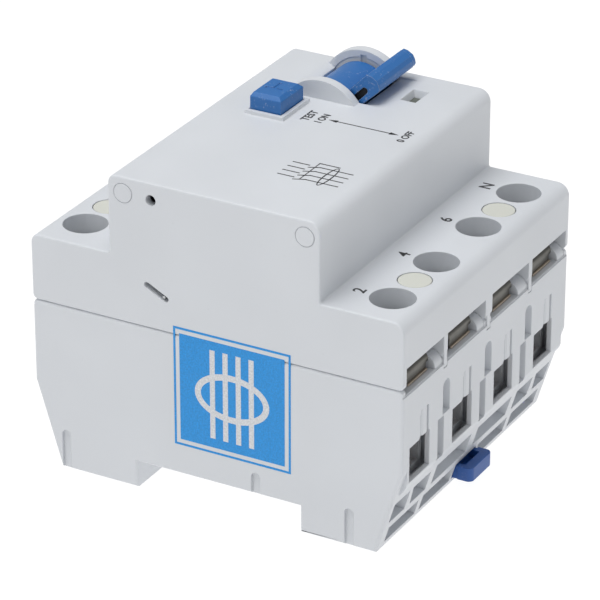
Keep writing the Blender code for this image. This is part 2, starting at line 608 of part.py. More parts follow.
def make_sensor(shop):
    x, y, z = CORE_CENTRE
    span = around(y, CORE_WIDTH / 2)
    core = shop.rods("summation_core", [("Y", (x, z), CORE_R, span)], colour="black", sides=32)
    cut(core, shop.rods("core_window", [("Y", (x, z), CORE_HOLE_R, around(y, CORE_WIDTH))], sides=32))

    turns = (around(x, 3.2), around(y, CORE_WIDTH / 2 + 1.6), (z + 6.6, z + 17.0))
    winding = shop.boxes("sensing_winding", [turns], colour="copper")
    ring = shop.rods("winding_ring", [("Y", (x, z), CORE_R + GAP, around(y, CORE_WIDTH / 2 + GAP))], sides=32)
    hole = shop.rods("winding_hole", [("Y", (x, z), CORE_HOLE_R - GAP, around(y, CORE_WIDTH))], sides=32)
    cut(ring, hole)
    bevel(winding, 1.0)
    cut(winding, ring)

    board = shop.boxes("circuit_board", [((-31.0, -13.0), (4.0, 5.6), (40.0, 60.0))], colour="green")
    chip = shop.boxes("board_capacitor", [((-27.0, -21.0), (5.0, 9.5), (46.0, 52.0))])
    join(board, chip)


# ---- rail clip -------------------------------------------------------------------------------------------
def make_clip(shop):
    low, high = CLIP_Y
    outline = [(-CLIP_HALF, high), (-CLIP_HALF, low + 1.2)] + arc((1.2 - CLIP_HALF, low + 1.2), 1.2, 180, 270)
    outline += arc((CLIP_HALF - 1.2, low + 1.2), 1.2, 270, 360) + [(CLIP_HALF, high)]
    clip = shop.prism("rail_clip", outline, CLIP_Z, axis="Z", colour="dark_blue")
    tool_slot = shop.boxes("clip_tool_slot", [((-3.0, 3.0), (-37.2, -34.8), (2.4, 5.0))])
    spring_slot = shop.boxes("clip_spring_slot", [((-1.7, 1.7), (-32.0, -23.0), (0.0, 6.0))])
    nose = shop.prism("clip_nose", [(-18.0, 5.0), (-15.0, 5.0), (-15.0, 2.0)], (-6.0, 6.0))
    cut(clip, tool_slot, spring_slot, nose)

    lying = Matrix.Translation(Vector((0.0, -30.0, 2.75)) * MM) @ Matrix.Rotation(-pi / 2, 4, "X")
    shop.wire("rail_clip_spring", coil((0.0, 0.0), 0.95, 0.2, 6.4, 6, 8), 0.25, lying, "steel")


def main():
    for thing in list(bpy.data.objects):
        bpy.data.objects.remove(thing)
    shop = Workshop()
    make_base(shop)
    make_cover(shop)
    make_fasteners(shop)
    for side, labels in SIDES:
        for pole, label in zip(POLES, labels):
            make_terminal(shop, pole, side, label)
    for pole, label in zip(POLES, LINE_NAMES):
        make_line_bar(shop, pole, label)
    for index, (pole, label) in enumerate(zip(POLES, LOAD_NAMES)):
        make_load_conductor(shop, index, pole, label)
    make_handle(shop)
    make_link(shop)
    make_frame(shop)
    make_contacts(shop)
    make_trip_parts(shop)
    make_auxiliary_lever(shop)
    make_indicator(shop)
    make_test_circuit(shop)
    make_sensor(shop)
    make_clip(shop)
    bpy.context.view_layer.update()


main()
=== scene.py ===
"""The looks of a four-pole residual current device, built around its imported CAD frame.

Lengths are written in millimetres and turned into metres by MM. +Z is the front, +Y the line side and
+X runs from pole 1 to the neutral pole, as in the frame. The case halves, the handle, the test button,
the clip and the terminal cages are made again here with their fine shapes; every other CAD node stays
and gets its material and soft edges.
"""

import json
from math import cos, degrees, pi, radians, sin

import bmesh
import bpy
from mathutils import Matrix, Vector

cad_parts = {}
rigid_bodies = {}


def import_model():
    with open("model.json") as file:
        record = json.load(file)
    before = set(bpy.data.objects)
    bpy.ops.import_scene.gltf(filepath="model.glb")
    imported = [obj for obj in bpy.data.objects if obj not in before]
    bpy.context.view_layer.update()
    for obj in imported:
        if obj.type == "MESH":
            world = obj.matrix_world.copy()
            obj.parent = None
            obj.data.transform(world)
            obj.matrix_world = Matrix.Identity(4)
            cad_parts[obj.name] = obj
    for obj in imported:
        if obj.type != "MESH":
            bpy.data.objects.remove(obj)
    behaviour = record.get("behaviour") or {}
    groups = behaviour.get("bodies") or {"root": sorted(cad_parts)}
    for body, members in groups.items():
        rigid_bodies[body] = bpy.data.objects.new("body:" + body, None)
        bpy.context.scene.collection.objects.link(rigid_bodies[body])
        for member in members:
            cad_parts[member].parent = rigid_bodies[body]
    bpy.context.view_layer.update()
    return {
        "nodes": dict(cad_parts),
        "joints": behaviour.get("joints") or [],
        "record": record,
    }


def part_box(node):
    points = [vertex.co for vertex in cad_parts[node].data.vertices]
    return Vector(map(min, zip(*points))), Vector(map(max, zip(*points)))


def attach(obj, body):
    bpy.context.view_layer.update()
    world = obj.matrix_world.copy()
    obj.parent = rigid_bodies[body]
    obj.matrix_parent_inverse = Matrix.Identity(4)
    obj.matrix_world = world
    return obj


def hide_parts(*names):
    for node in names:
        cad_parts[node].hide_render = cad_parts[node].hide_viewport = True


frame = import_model()

MM = 0.001
NODES = frame["nodes"]


def node_span(node, axis):
    """A CAD node's lowest and highest place along an axis, in millimetres."""
    low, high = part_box(node)
    index = "XYZ".index(axis)
    return low[index] / MM, high[index] / MM


# ---- places read from the frame ------------------------------------------------------------------
HALF_WIDTH = node_span("base", "X")[1] - 0.08    # leaves room for the ink on the side face
END_Y = node_span("base", "Y")[1]
CASE_SEAM = node_span("base", "Z")[1]
LINE_LABELS = ["1", "3", "5", "N_line"]
LOAD_LABELS = ["2", "4", "6", "N_load"]
SIDES = [(1, LINE_LABELS), (-1, LOAD_LABELS)]
POLES = [sum(node_span(f"clamp_cage_{label}", "X")) / 2 for label in LINE_LABELS]
BETWEEN = [(left + right) / 2 for left, right in zip(POLES, POLES[1:])]
OPENING_X = dict(zip(POLES, [(-33.7, -18.7), (-17.2, -1.4), (1.4, 17.2), (18.7, 33.7)]))
SCREW_Y = sum(node_span("terminal_screw_1", "Y")) / 2
BUTTON_SKIRT = 0.5               # how far the button's hidden skirt stands out under the case
BUTTON_X, BUTTON_Y = [(low + BUTTON_SKIRT, high - BUTTON_SKIRT)
                      for low, high in (node_span("test_button", axis) for axis in "XY")]
BUTTON_TOP = node_span("test_button", "Z")[1]
DRUM_X = node_span("handle", "X")
CLIP_X, CLIP_Y, CLIP_Z = (node_span("rail_clip", axis) for axis in "XYZ")
JOINTS = {joint["name"]: joint for joint in frame["joints"]}
HANDLE_Y, HANDLE_Z = (value / MM for value in JOINTS["handle_turn"]["pos_m"][1:])

# ---- the case's outline --------------------------------------------------------------------------
NOSE_Y = 22.5
NOSE_Z = 65.4
SHOULDER_Z = 49.1
SLOPE_Z = 18.0
FOOT_Y = 34.5
RAIL_Y = (-18.4, 17.3)
RAIL_Z = 5.6
LOAD_RADIUS, LINE_RADIUS, SEAM_RADIUS = 2.5, 1.8, 1.1
SIDE_RADIUS = 0.6
WALL = 1.8
SEAM_LINE = 0.06
CHEEK_R = 8.92
CHEEKS_X = [(14.6, 16.7), (32.0, 34.1)]
SCREW_HOLE_R = 4.4
PLUG_HOLE_R = 3.35
STEPS = 10
PAST = 1.0                       # how far a cutting tool reaches past the face that it opens
BAY_HALF, BAY_IN = 6.4, 27.0     # the bay round each terminal cage
WELL_Y = 25.5
COVER_SCREW_R = 1.3            # the screws that hold the halves together
CREASE_RADIUS = 0.4              # where the nose rises from the shoulders
DISCS = ((19.2, 62.1), (-19.45, 62.0))
DISC_R, DISC_ROOM_R = 1.9, 2.02
SIDE_HOLE, SIDE_HOLE_R = (13.2, 61.9), 1.1
LEVER_SLOT = ((14.35, 44.25), (10.25, 42.15))
LEVER_SLOT_R = 0.6
OPENING_IN, OPENING_TOP = 36.8, 39.6
SCREW_HOLE_FLOOR, PLUG_HOLE_FLOOR = 41.6, 44.4
BAY_TOP = 42.6
SLOT_FLOOR = NOSE_Z - 3.0        # openings in the front reach into the nose's well
FLAG_WINDOW = ((22.55, 27.3), (-12.05, -9.5))
FLAG_WINDOW_RIM = ((22.0, 27.9), (-12.5, -9.1))
BEZEL = ((1.55, 12.65), (5.4, 14.2))
BEZEL_TOP = ((1.8, 12.4), (5.65, 13.95))
CHEEK_STEP_R = 7.42              # the far cheek's shallow inner step
CHEEK_NOTCH = [(31.9, 32.45), (3.6, 4.9), (66.0, 68.3)]


# ---- mesh tools ----------------------------------------------------------------------------------
def polar(radius, degrees):
    return radius * cos(radians(degrees)), radius * sin(radians(degrees))


def arc(centre, radius, start, end, steps=STEPS):
    offsets = [polar(radius, start + (end - start) * step / steps) for step in range(steps + 1)]
    return [(centre[0] + across, centre[1] + up) for across, up in offsets]


def around(middle, half):
    return middle - half, middle + half


def shifted(middle, span):
    return middle + span[0], middle + span[1]


def mirrored(side, span):
    return span if side > 0 else (-span[1], -span[0])


def both_ends(places):
    """Each place at the line end, with side 1, and then at the load end, with side -1."""
    return [(side, place) for side in (1, -1) for place in places]


def corner(axis, along, first, second):
    """A point from its place along an axis and its places on the other two."""
    order = {"X": (along, first, second), "Y": (first, along, second), "Z": (first, second, along)}
    return Vector(order[axis]) * MM


def prism(bm, axis, outline, span):
    """Adds a closed outline drawn across an axis, given thickness along it."""
    bottom = [bm.verts.new(corner(axis, span[0], *point)) for point in outline]
    base = bm.faces.new(bottom)
    grown = bmesh.ops.extrude_face_region(bm, geom=[base])
    top = [item for item in grown["geom"] if isinstance(item, bmesh.types.BMVert)]
    step = corner(axis, span[1] - span[0], 0.0, 0.0)
    bmesh.ops.translate(bm, verts=top, vec=step)


def box(bm, spans):
    size = Matrix.Diagonal([(high - low) * MM for low, high in spans]).to_4x4()
    centre = Matrix.Translation(Vector([(low + high) / 2 for low, high in spans]) * MM)
    bmesh.ops.create_cube(bm, size=1.0, matrix=centre @ size)


def rod(bm, axis, centre, radius, span, sides=48, end_radius=None):
    turns = {
        "X": Matrix.Rotation(pi / 2, 4, "Y"),
        "Y": Matrix.Rotation(-pi / 2, 4, "X"),
        "Z": Matrix.Identity(4),
    }
    middle = Matrix.Translation(corner(axis, (span[0] + span[1]) / 2, *centre))
    last = radius if end_radius is None else end_radius
    bmesh.ops.create_cone(
        bm, cap_ends=True, segments=sides, radius1=radius * MM, radius2=last * MM,
        depth=(span[1] - span[0]) * MM, matrix=middle @ turns[axis],
    )


def frustum(bm, low, high, span):
    """A block whose lower and upper rectangles are given as (X span, Y span)."""
    rings = []
    for (across, along), z in zip((low, high), span):
        rim = [(across[0], along[0]), (across[1], along[0]), (across[1], along[1]), (across[0], along[1])]
        rings.append([bm.verts.new(Vector((x, y, z)) * MM) for x, y in rim])
    bm.faces.new(rings[0])
    bm.faces.new(rings[1])
    for index in range(4):
        after = (index + 1) % 4
        bm.faces.new([rings[0][index], rings[0][after], rings[1][after], rings[1][index]])


def new_object(name, bm):
    bmesh.ops.remove_doubles(bm, verts=bm.verts, dist=1e-7)
    bmesh.ops.recalc_face_normals(bm, faces=bm.faces)
    mesh = bpy.data.meshes.new(name)
    bm.to_mesh(mesh)
    bm.free()
    thing = bpy.data.objects.new(name, mesh)
    bpy.context.scene.collection.objects.link(thing)
    return thing


def apply_modifiers(thing):
    depsgraph = bpy.context.evaluated_depsgraph_get()
    mesh = bpy.data.meshes.new_from_object(thing.evaluated_get(depsgraph))
    thing.modifiers.clear()
    thing.data = mesh


def carve(thing, *fills, operation="DIFFERENCE"):
    """Cuts (or adds) what each fill function draws in a mesh of its own."""
    tools = []
    for index, fill in enumerate(fills):
        bm = bmesh.new()
        fill(bm)
        tool = new_object(f"{thing.name}_tool_{index}", bm)
        modifier = thing.modifiers.new("carve", "BOOLEAN")
        modifier.operation = operation
        modifier.solver = "EXACT"
        modifier.object = tool
        tools.append(tool)
    apply_modifiers(thing)
    for tool in tools:
        bpy.data.objects.remove(tool)


def weld_corners(thing, smooth):
    weld = thing.modifiers.new("weld", "WELD")
    weld.merge_threshold = 1e-6
    for face in thing.data.polygons:
        face.use_smooth = smooth


def soften(thing, width, segments=3, angle=32):
    """Rounds what sharp edges are left, with normals that keep the flats flat."""
    weld_corners(thing, smooth=True)
    edges = thing.modifiers.new("soft edges", "BEVEL")
    edges.width = width * MM
    edges.segments = segments
    edges.angle_limit = radians(angle)
    edges.miter_outer = "MITER_ARC"
    edges.use_clamp_overlap = True
    normals = thing.modifiers.new("normals", "WEIGHTED_NORMAL")
    normals.keep_sharp = True


# ---- materials -----------------------------------------------------------------------------------
class Surface:
    """A Principled material with small helpers for its noise, colour and bump."""

    def __init__(self, name):
        self.material = bpy.data.materials.new(name)
        self.material.use_nodes = True
        self.tree = self.material.node_tree
        self.shader = self.tree.nodes["Principled BSDF"]
        self.place = self.tree.nodes.new("ShaderNodeTexCoord").outputs["Object"]

    def link(self, output, target):
        self.tree.links.new(output, target)

    def noise(self, size, detail=3.0, stretch=(1.0, 1.0, 1.0)):
        """Noise whose features are about this many millimetres across."""
        mapping = self.tree.nodes.new("ShaderNodeMapping")
        mapping.inputs["Scale"].default_value = [value / (size * MM) for value in stretch]
        self.link(self.place, mapping.inputs["Vector"])
        texture = self.tree.nodes.new("ShaderNodeTexNoise")
        texture.inputs["Scale"].default_value = 1.0
        texture.inputs["Detail"].default_value = detail
        self.link(mapping.outputs["Vector"], texture.inputs["Vector"])
        return texture.outputs["Fac"]

    def ramp(self, source, stops):
        """A colour or grey ramp; each stop is (place, value)."""
        node = self.tree.nodes.new("ShaderNodeValToRGB")
        elements = node.color_ramp.elements
        while len(elements) < len(stops):
            elements.new(0.5)
        for element, (place, value) in zip(elements, stops):
            element.position = place
            element.color = (*value, 1.0) if isinstance(value, tuple) else (value, value, value, 1.0)
        self.link(source, node.inputs["Fac"])
        return node.outputs["Color"]

    def mix(self, factor, first, second):
        node = self.tree.nodes.new("ShaderNodeMix")
        node.data_type = "RGBA"
        self.link(factor, node.inputs[0])
        for source, target in ((first, node.inputs[6]), (second, node.inputs[7])):
            if isinstance(source, tuple):
                target.default_value = (*source, 1.0)
            else:
                self.link(source, target)
        return node.outputs[2]

    def edges(self, radius, low, high):
        """0 on flats and 1 on edges, found from how a rounded normal leaves the true one."""
        rounded = self.rounded(radius, 6)
        true = self.tree.nodes.new("ShaderNodeNewGeometry")
        dot = self.tree.nodes.new("ShaderNodeVectorMath")
        dot.operation = "DOT_PRODUCT"
        self.link(rounded, dot.inputs[0])
        self.link(true.outputs["Normal"], dot.inputs[1])
        return self.ramp(dot.outputs["Value"], [(low, 1.0), (high, 0.0)])

    def rounded(self, radius, samples=8):
        """The normal of edges rounded by this much."""
        node = self.tree.nodes.new("ShaderNodeBevel")
        node.samples = samples
        node.inputs["Radius"].default_value = radius * MM
        return node.outputs["Normal"]

    def product(self, first, second):
        node = self.tree.nodes.new("ShaderNodeMath")
        node.operation = "MULTIPLY"
        self.link(first, node.inputs[0])
        self.link(second, node.inputs[1])
        return node.outputs["Value"]

    def bump(self, source, depth, under=None):
        node = self.tree.nodes.new("ShaderNodeBump")
        node.inputs["Strength"].default_value = 1.0
        node.inputs["Distance"].default_value = depth * MM
        self.link(source, node.inputs["Height"])
        if under is not None:
            self.link(under, node.inputs["Normal"])
        return node.outputs["Normal"]

    def colour(self, source):
        self.link(source, self.shader.inputs["Base Color"])

    def roughness(self, source):
        self.link(source, self.shader.inputs["Roughness"])

    def normal(self, source):
        self.link(source, self.shader.inputs["Normal"])

    def set(self, socket, value):
        self.shader.inputs[socket].default_value = value


def shade(colour, factor):
    return tuple(min(1.0, channel * factor) for channel in colour)


GRAIN = 0.006                    # the height of the moulds' fine grain


def moulded_plastic(name, colour, rough, scuff_and_highlight=0.0, clear=0.0, edge=0.1):
    """Moulded plastic: slow tint changes from the moulding, fine spark-eroded grain, a few marks and, for
    scuffed plastics, a painted highlight along the edges.
    """
    surface = Surface(name)
    cloud = surface.noise(24.0, 2.0)
    tint = surface.ramp(cloud, [(0.3, shade(colour, 0.975)), (0.7, shade(colour, 1.02))])
    if scuff_and_highlight:
        surface.colour(scuffs_and_edge_highlight(surface, tint, colour, scuff_and_highlight))
    else:
        dust = surface.ramp(surface.noise(1.6, 5.0), [(0.70, 0.0), (0.78, 1.0)])
        surface.colour(surface.mix(dust, tint, shade(colour, 0.95)))
    patches = surface.noise(6.0, 4.0)
    surface.roughness(surface.ramp(patches, [(0.25, rough - 0.05), (0.75, rough + 0.06)]))
    fine = surface.bump(surface.noise(0.22, 2.0), GRAIN, under=surface.rounded(edge))
    surface.normal(surface.bump(surface.noise(3.5, 2.0), GRAIN * 1.5, under=fine))
    surface.set("Specular IOR Level", 0.5)
    surface.set("Coat Weight", clear)
    surface.set("Coat Roughness", 0.2)
    surface.set("Subsurface Weight", 0.06)
    surface.set("Subsurface Radius", (0.0006, 0.0006, 0.0007))
    surface.set("Subsurface Scale", 1.0)
    return surface.material


def scuffs_and_edge_highlight(surface, tint, colour, amount):
    """Pale edges, a painted highlight along them broken up by rubbed wear, and scattered chalky specks, as on
    a handled blue plastic.
    """
    pale = tuple(channel + (0.75 - channel) * amount for channel in colour)
    specks = surface.ramp(surface.noise(0.5, 6.0), [(0.58, 0.0), (0.72, 1.0)])
    patch = surface.ramp(surface.noise(3.0, 2.0), [(0.48, 0.0), (0.66, 0.75)])
    specked = surface.mix(surface.product(specks, patch), tint, pale)
    wear_and_highlight_patches = surface.ramp(surface.noise(1.3, 4.0), [(0.3, 0.25), (0.62, 1.0)])
    # a paler colour along the edges: painted highlight, broken up by a rubbed wear noise
    wear_and_edge_highlight = surface.product(surface.edges(0.18, 0.86, 0.985), wear_and_highlight_patches)
    return surface.mix(wear_and_edge_highlight, specked, pale)


def drawn_metal(name, colour, rough, along="X", metallic=1.0):
    """Plated or drawn metal with fine lines along one axis, patchy tarnish and a painted highlight along its
    edges.
    """
    surface = Surface(name)
    surface.set("Metallic", metallic)
    stretch = {"X": (0.04, 1.0, 1.0), "Y": (1.0, 0.04, 1.0), "Z": (1.0, 1.0, 0.04)}[along]
    lines = surface.noise(0.25, 2.0, stretch)
    patches = surface.noise(2.2, 4.0)
    tint = surface.ramp(patches, [(0.32, shade(colour, 0.85)), (0.68, shade(colour, 1.06))])
    # a paler colour along the edges: painted highlight
    surface.colour(surface.mix(surface.edges(0.12, 0.85, 0.98), tint, shade(colour, 1.35)))
    surface.roughness(surface.ramp(lines, [(0.3, rough - 0.06), (0.7, rough + 0.1)]))
    surface.normal(surface.bump(lines, 0.006))
    return surface.material


def printed_ink(name, colour):
    """Pad-printed ink, slightly uneven in its cover."""
    surface = Surface(name)
    uneven = surface.noise(0.35, 4.0)
    surface.colour(surface.ramp(uneven, [(0.3, shade(colour, 0.85)), (0.75, shade(colour, 1.2))]))
    surface.roughness(surface.ramp(surface.noise(0.8, 2.0), [(0.3, 0.42), (0.7, 0.58)]))
    surface.normal(surface.bump(surface.noise(0.15, 2.0), 0.002))
    return surface.material


def circuit_lacquer(name, colour):
    """A board's lacquer with traces showing through it."""
    surface = Surface(name)
    traces = surface.ramp(surface.noise(1.2, 0.0, (1.0, 1.0, 4.0)), [(0.48, 0.0), (0.5, 1.0), (0.54, 0.0)])
    surface.colour(surface.mix(traces, colour, shade(colour, 2.2)))
    surface.roughness(surface.ramp(surface.noise(4.0), [(0.3, 0.25), (0.7, 0.4)]))
    surface.normal(surface.bump(traces, 0.03))
    return surface.material


def wound_wire(name, colour):
    """Enamelled wire laid turn by turn, with painted shade darkening the grooves between the turns."""
    surface = Surface(name)
    wave = surface.tree.nodes.new("ShaderNodeTexWave")
    wave.inputs["Scale"].default_value = 420.0
    wave.inputs["Distortion"].default_value = 1.0
    surface.link(surface.place, wave.inputs["Vector"])
    # darker bands between the turns: painted shade
    surface.colour(surface.ramp(wave.outputs["Fac"], [(0.1, shade(colour, 0.5)), (0.8, colour)]))
    surface.roughness(surface.ramp(surface.noise(1.0), [(0.3, 0.25), (0.7, 0.4)]))
    surface.normal(surface.bump(wave.outputs["Fac"], 0.1))
    surface.set("Metallic", 0.7)
    return surface.material


HOUSING = (0.665, 0.685, 0.715)
BLUE = (0.022, 0.145, 0.42)
CLIP_BLUE = (0.014, 0.085, 0.33)
MATERIALS = {
    "housing": moulded_plastic("case_plastic", HOUSING, 0.44, edge=0.22),
    "ivory": moulded_plastic("plug_plastic", (0.64, 0.645, 0.585), 0.5),
    "blue": moulded_plastic("handle_plastic", BLUE, 0.36, scuff_and_highlight=0.5, edge=0.3),
    "button": moulded_plastic("button_plastic", BLUE, 0.42, scuff_and_highlight=0.42),
    "dark_blue": moulded_plastic("clip_plastic", CLIP_BLUE, 0.38, scuff_and_highlight=0.12),
    "black": moulded_plastic("black_plastic", (0.016, 0.016, 0.018), 0.45),
    # near black: painted shade that fills the handle's sealing slot
    "hollow": moulded_plastic("slot_lining", (0.004, 0.004, 0.006), 0.7),
    "flag": moulded_plastic("flag_plastic", (0.11, 0.12, 0.10), 0.35),
    "amber": moulded_plastic("resistor_lacquer", (0.42, 0.2, 0.06), 0.3, clear=0.4),
    "steel": drawn_metal("zinc_steel", (0.56, 0.57, 0.58), 0.3, "Z"),
    # nickel painted near black: painted shade for the dark reflections in the end openings
    "nickel": drawn_metal("nickel_plate", (0.16, 0.155, 0.14), 0.34, "X"),
    "zinc": drawn_metal("zinc_stirrup", (0.60, 0.62, 0.64), 0.5, "Z", metallic=0.15),
    "lip": drawn_metal("brass_edge", (0.60, 0.50, 0.40), 0.32, "X"),
    "copper": drawn_metal("bare_copper", (0.66, 0.34, 0.22), 0.32, "Y"),
    "green": circuit_lacquer("board_lacquer", (0.02, 0.12, 0.06)),
    "winding": wound_wire("winding_wire", (0.55, 0.22, 0.1)),
    "ink": printed_ink("dark_ink", (0.028, 0.028, 0.03)),
    "print_blue": printed_ink("blue_ink", (0.012, 0.27, 0.68)),
    "print_white": printed_ink("white_ink", (0.66, 0.67, 0.69)),
}


def paint(thing, material):
    thing.data.materials.clear()
    thing.data.materials.append(MATERIALS[material])


def piece(thing, body, material, replaces=()):
    """Gives a finished piece its material and body, and hides the CAD nodes that it stands for."""
    paint(thing, material)
    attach(thing, body)
    if replaces:
        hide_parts(*replaces)


# ---- upper half of the case ----------------------------------------------------------------------
def rounded_profile(name, outline, round_corners=True):
    """A profile across X over the full width, with its side edges rounded."""
    bm = bmesh.new()
    prism(bm, "X", outline, (-HALF_WIDTH, HALF_WIDTH))
    bmesh.ops.recalc_face_normals(bm, faces=bm.faces)
    limit = (HALF_WIDTH - 0.001) * MM
    rims = [edge for edge in bm.edges if all(abs(vertex.co.x) > limit for vertex in edge.verts)
            and edge.verts[0].co.x * edge.verts[1].co.x > 0]
    bmesh.ops.bevel(
        bm, geom=rims, offset=SIDE_RADIUS * MM, segments=4, profile=0.5, affect="EDGES", clamp_overlap=True,
    )
    return new_object(name, bm)


def plug_spots():
    return [(x, side * SCREW_Y) for side in (1, -1) for x in (BETWEEN[0], BETWEEN[2])]


def tongue(middle):
    """Where the cover's divider stands between two end openings."""
    return middle - 0.45 if middle < 0 else middle + 0.45 if middle > 0 else middle


def make_cover():
    low = CASE_SEAM + SEAM_LINE
    outline = arc((SEAM_RADIUS - END_Y, low + SEAM_RADIUS), SEAM_RADIUS, 180, 270, 5)
    outline += arc((END_Y - SEAM_RADIUS, low + SEAM_RADIUS), SEAM_RADIUS, 270, 360, 5)
    outline += arc((END_Y - LINE_RADIUS, SHOULDER_Z - LINE_RADIUS), LINE_RADIUS, 0, 90)
    outline += arc((NOSE_Y + CREASE_RADIUS, SHOULDER_Z + CREASE_RADIUS), CREASE_RADIUS, 270, 180, 3)
    outline += arc((NOSE_Y - LINE_RADIUS, NOSE_Z - LINE_RADIUS), LINE_RADIUS, 0, 90)
    outline += arc((LOAD_RADIUS - NOSE_Y, NOSE_Z - LOAD_RADIUS), LOAD_RADIUS, 90, 180)
    outline += arc((-NOSE_Y - CREASE_RADIUS, SHOULDER_Z + CREASE_RADIUS), CREASE_RADIUS, 0, -90, 3)
    outline += arc((LOAD_RADIUS - END_Y, SHOULDER_Z - LOAD_RADIUS), LOAD_RADIUS, 90, 180)
    cover = rounded_profile("case_cover", outline)

    def cheeks(bm):
        for span in CHEEKS_X:
            prism(bm, "X", arc((HANDLE_Y, HANDLE_Z), CHEEK_R, 15, 165, 40), span)

    def bezel(bm):
        frustum(bm, BEZEL, BEZEL_TOP, (NOSE_Z - 1.0, NOSE_Z + 0.75))

    def divider_tongues(bm):
        for side, middle in both_ends(BETWEEN):
            depth = mirrored(side, (END_Y - 1.15, END_Y - 0.02))
            box(bm, [around(tongue(middle), 0.6), depth, (33.0, low + 2.0)])

    carve(cover, cheeks, bezel, divider_tongues, operation="UNION")

    def wells(bm):
        box(bm, [around(0.0, HALF_WIDTH - WALL), around(0.0, WELL_Y), (low - PAST, SHOULDER_Z - WALL)])

    def nose_well(bm):
        box(bm, [around(0.0, HALF_WIDTH - WALL), around(0.0, 20.6), (low - PAST, NOSE_Z - WALL)])

    def bays(bm):
        for side, pole in both_ends(POLES):
            box(bm, [around(pole, BAY_HALF), mirrored(side, (BAY_IN, 38.95)), (low - PAST, BAY_TOP)])

    def end_openings(bm):
        for side, pole in both_ends(POLES):
            box(bm, [OPENING_X[pole], mirrored(side, (OPENING_IN, END_Y + PAST)), (low - PAST, OPENING_TOP)])

    def screw_holes(bm):
        for side, pole in both_ends(POLES):
            rod(bm, "Z", (pole, side * SCREW_Y), SCREW_HOLE_R, (SCREW_HOLE_FLOOR, SHOULDER_Z + PAST), 72)

    def plug_holes(bm):
        for spot in plug_spots():
            rod(bm, "Z", spot, PLUG_HOLE_R, (PLUG_HOLE_FLOOR, SHOULDER_Z + PAST), 64)
            rod(bm, "Z", spot, COVER_SCREW_R, (low - PAST, 44.0), 24)

    def cover_screw_seats(bm):
        for spot in plug_spots():
            rod(bm, "Z", spot, COVER_SCREW_R, (43.0, 45.0), 24)

    between = (CHEEKS_X[0][1], CHEEKS_X[1][0])
    clear = NOSE_Z + 4.0

    def handle_slot(bm):
        outline = [(-2.45, SLOT_FLOOR), (-2.45, 63.6), (-4.05, 65.05), (-4.05, NOSE_Z + 8.0)]
        outline += [(10.7, NOSE_Z + 8.0), (10.7, SLOT_FLOOR)]
        prism(bm, "X", outline, between)

    def scoop(bm):
        prism(bm, "X", [(-8.1, NOSE_Z), (-3.95, 64.9), (-3.95, clear), (-8.1, clear)], between)

    def ramp(bm):
        prism(bm, "X", [(12.6, NOSE_Z), (12.6, clear), (10.6, clear), (10.6, 64.3)], between)

    def cheek_recess(bm):
        rod(bm, "X", (HANDLE_Y, HANDLE_Z), CHEEK_STEP_R, (31.9, 32.15), 72)

    def cheek_notch(bm):
        box(bm, CHEEK_NOTCH)

    def button_hole(bm):
        spans = [(low_end - 0.15, high_end + 0.15) for low_end, high_end in (BUTTON_X, BUTTON_Y)]
        box(bm, [*spans, (SLOT_FLOOR, NOSE_Z + 2.0)])

    def window(bm):
        frustum(bm, FLAG_WINDOW, FLAG_WINDOW_RIM, (NOSE_Z - 1.25, NOSE_Z + 0.02))

    def window_bottom(bm):
        box(bm, [*FLAG_WINDOW, (SLOT_FLOOR, NOSE_Z - 1.0)])

    def side_details(bm):
        rod(bm, "X", SIDE_HOLE, SIDE_HOLE_R, (-36.0, -33.0), 32)
        for spot in DISCS:
            rod(bm, "X", spot, DISC_ROOM_R, (-36.0, -34.75), 48)

    def side_slot(bm):
        start, end = Vector(LEVER_SLOT[0]), Vector(LEVER_SLOT[1])
        along = (end - start).normalized()
        lean = along.angle_signed(Vector((1.0, 0.0)))
        first = 90.0 + degrees(lean)
        outline = arc(start, LEVER_SLOT_R, first, first + 180.0, 8)
        outline += arc(end, LEVER_SLOT_R, first + 180.0, first + 360.0, 8)
        prism(bm, "X", outline, (-36.0, -32.0))

    carve(cover, wells, nose_well, bays, end_openings, screw_holes, plug_holes, cover_screw_seats)
    carve(cover, handle_slot, scoop, ramp, cheek_recess, cheek_notch)
    carve(cover, button_hole, window, window_bottom, side_details, side_slot)

    def discs(bm):
        for spot in DISCS:
            rod(bm, "X", spot, DISC_R, (-34.97, -34.5), 48)

    carve(cover, discs, operation="UNION")
    soften(cover, 0.28)
    piece(cover, "housing", "housing", ["cover"])


# ---- lower half of the case ----------------------------------------------------------------------
LEDGE_Z = 33.8                   # above this the end face stands back by the step
LEDGE_STEP = 0.25
WINDOW_X = (-5.9, 2.2)
WINDOW_Z = (15.2, 22.8)
WINDOW_WALL = 1.05
INSIDE_X = (-33.0, 33.0)
TAB = [(-1.2, 1.17), (-1.2, 0.5), (-0.9, 0.2), (-0.4, 0.0), (0.9, 0.0), (1.4, 0.2), (1.6, 0.5), (1.6, 1.17)]
UPPER_POCKETS = [(-33.2, -26.9), (-25.6, -18.4), (-16.0, -1.4), (1.4, 16.0), (18.4, 25.6), (26.9, 33.2)]
LEANING = (-25.6, 26.9)          # the pockets whose first wall leans
LOWER_POCKETS = [(-32.0, -19.8), (-18.0, -5.2), (5.2, 18.0), (19.8, 32.0)]
SLIT_X, SLIT_Z = (-1.7, -1.2), (22.0, 27.4)
TAB_Z = (22.65, 28.6)
TAB_ROOM_X, TAB_ROOM_Z = (-1.45, 1.75), (22.0, 28.3)
LOWER_GROOVE_X, LOWER_GROOVE_Z = (-3.2, -0.7), (14.3, 22.9)
SIDE_MARKS = [(33.3, 8.3), (-28.9, 8.0), (-8.85, 10.2)]
SIDE_MARK_HALF = 0.95
SHELF_Y, SHELF_ROUND = 36.6, 2.3


